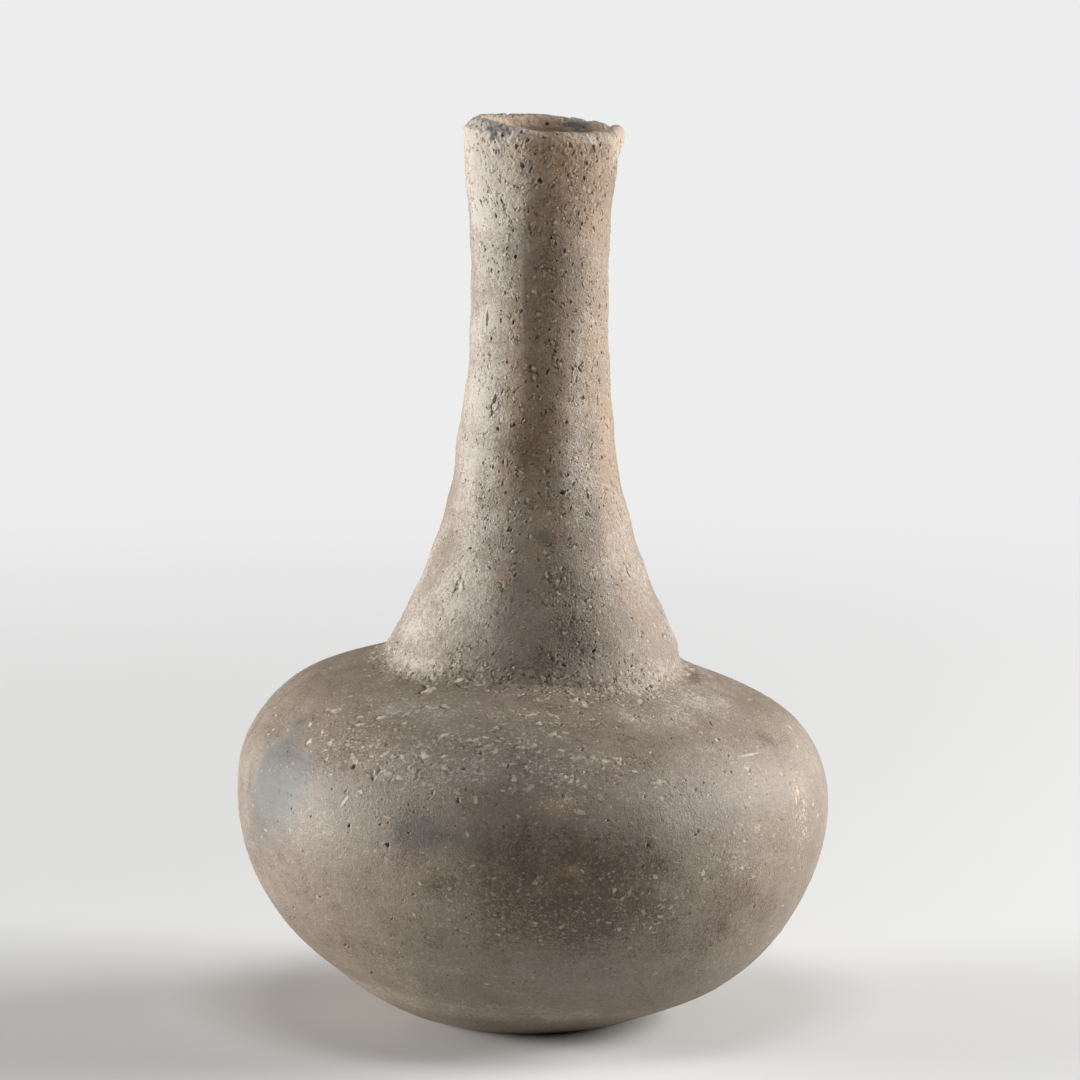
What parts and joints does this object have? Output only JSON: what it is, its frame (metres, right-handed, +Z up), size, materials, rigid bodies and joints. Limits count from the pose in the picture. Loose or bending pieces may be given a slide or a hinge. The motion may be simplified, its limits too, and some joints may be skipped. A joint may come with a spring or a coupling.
{
  "type": "pottery bottle",
  "caption": "Hand-built earthenware bottle with a squat round body, a tall slender neck that flares to a worn rounded lip, and a small flat seat to stand on.",
  "frame": {"origin": "centre of the flat seat under the base", "axes": "+Z up the neck, -Y to the front, +X to the right seen from the front"},
  "size_m": [0.164, 0.164, 0.2509],
  "materials": {
    "fired_clay": "smoothed by hand, matt, mottled grey and buff with pale flecks",
    "luting_clay": "rough and crumbly, matt, paler than the wall",
    "lip_clay": "worn and chipped, matt"
  },
  "bodies": {
    "root": {"base_pat": "fired_clay", "lower_wall_coil_1": "fired_clay", "lower_wall_coil_2": "fired_clay", "lower_wall_coil_3": "fired_clay", "lower_wall_coil_4": "fired_clay", "shoulder_coil_1": "fired_clay", "shoulder_coil_2": "fired_clay", "shoulder_coil_3": "fired_clay", "shoulder_coil_4": "fired_clay", "neck_luting": "luting_clay", "neck_coil_1": "fired_clay", "neck_coil_2": "fired_clay", "neck_coil_3": "fired_clay", "neck_coil_4": "fired_clay", "neck_coil_5": "fired_clay", "neck_coil_6": "fired_clay", "neck_coil_7": "fired_clay", "neck_coil_8": "fired_clay", "neck_coil_9": "fired_clay", "lip_coil": "lip_clay"}
  },
  "joints": []
}
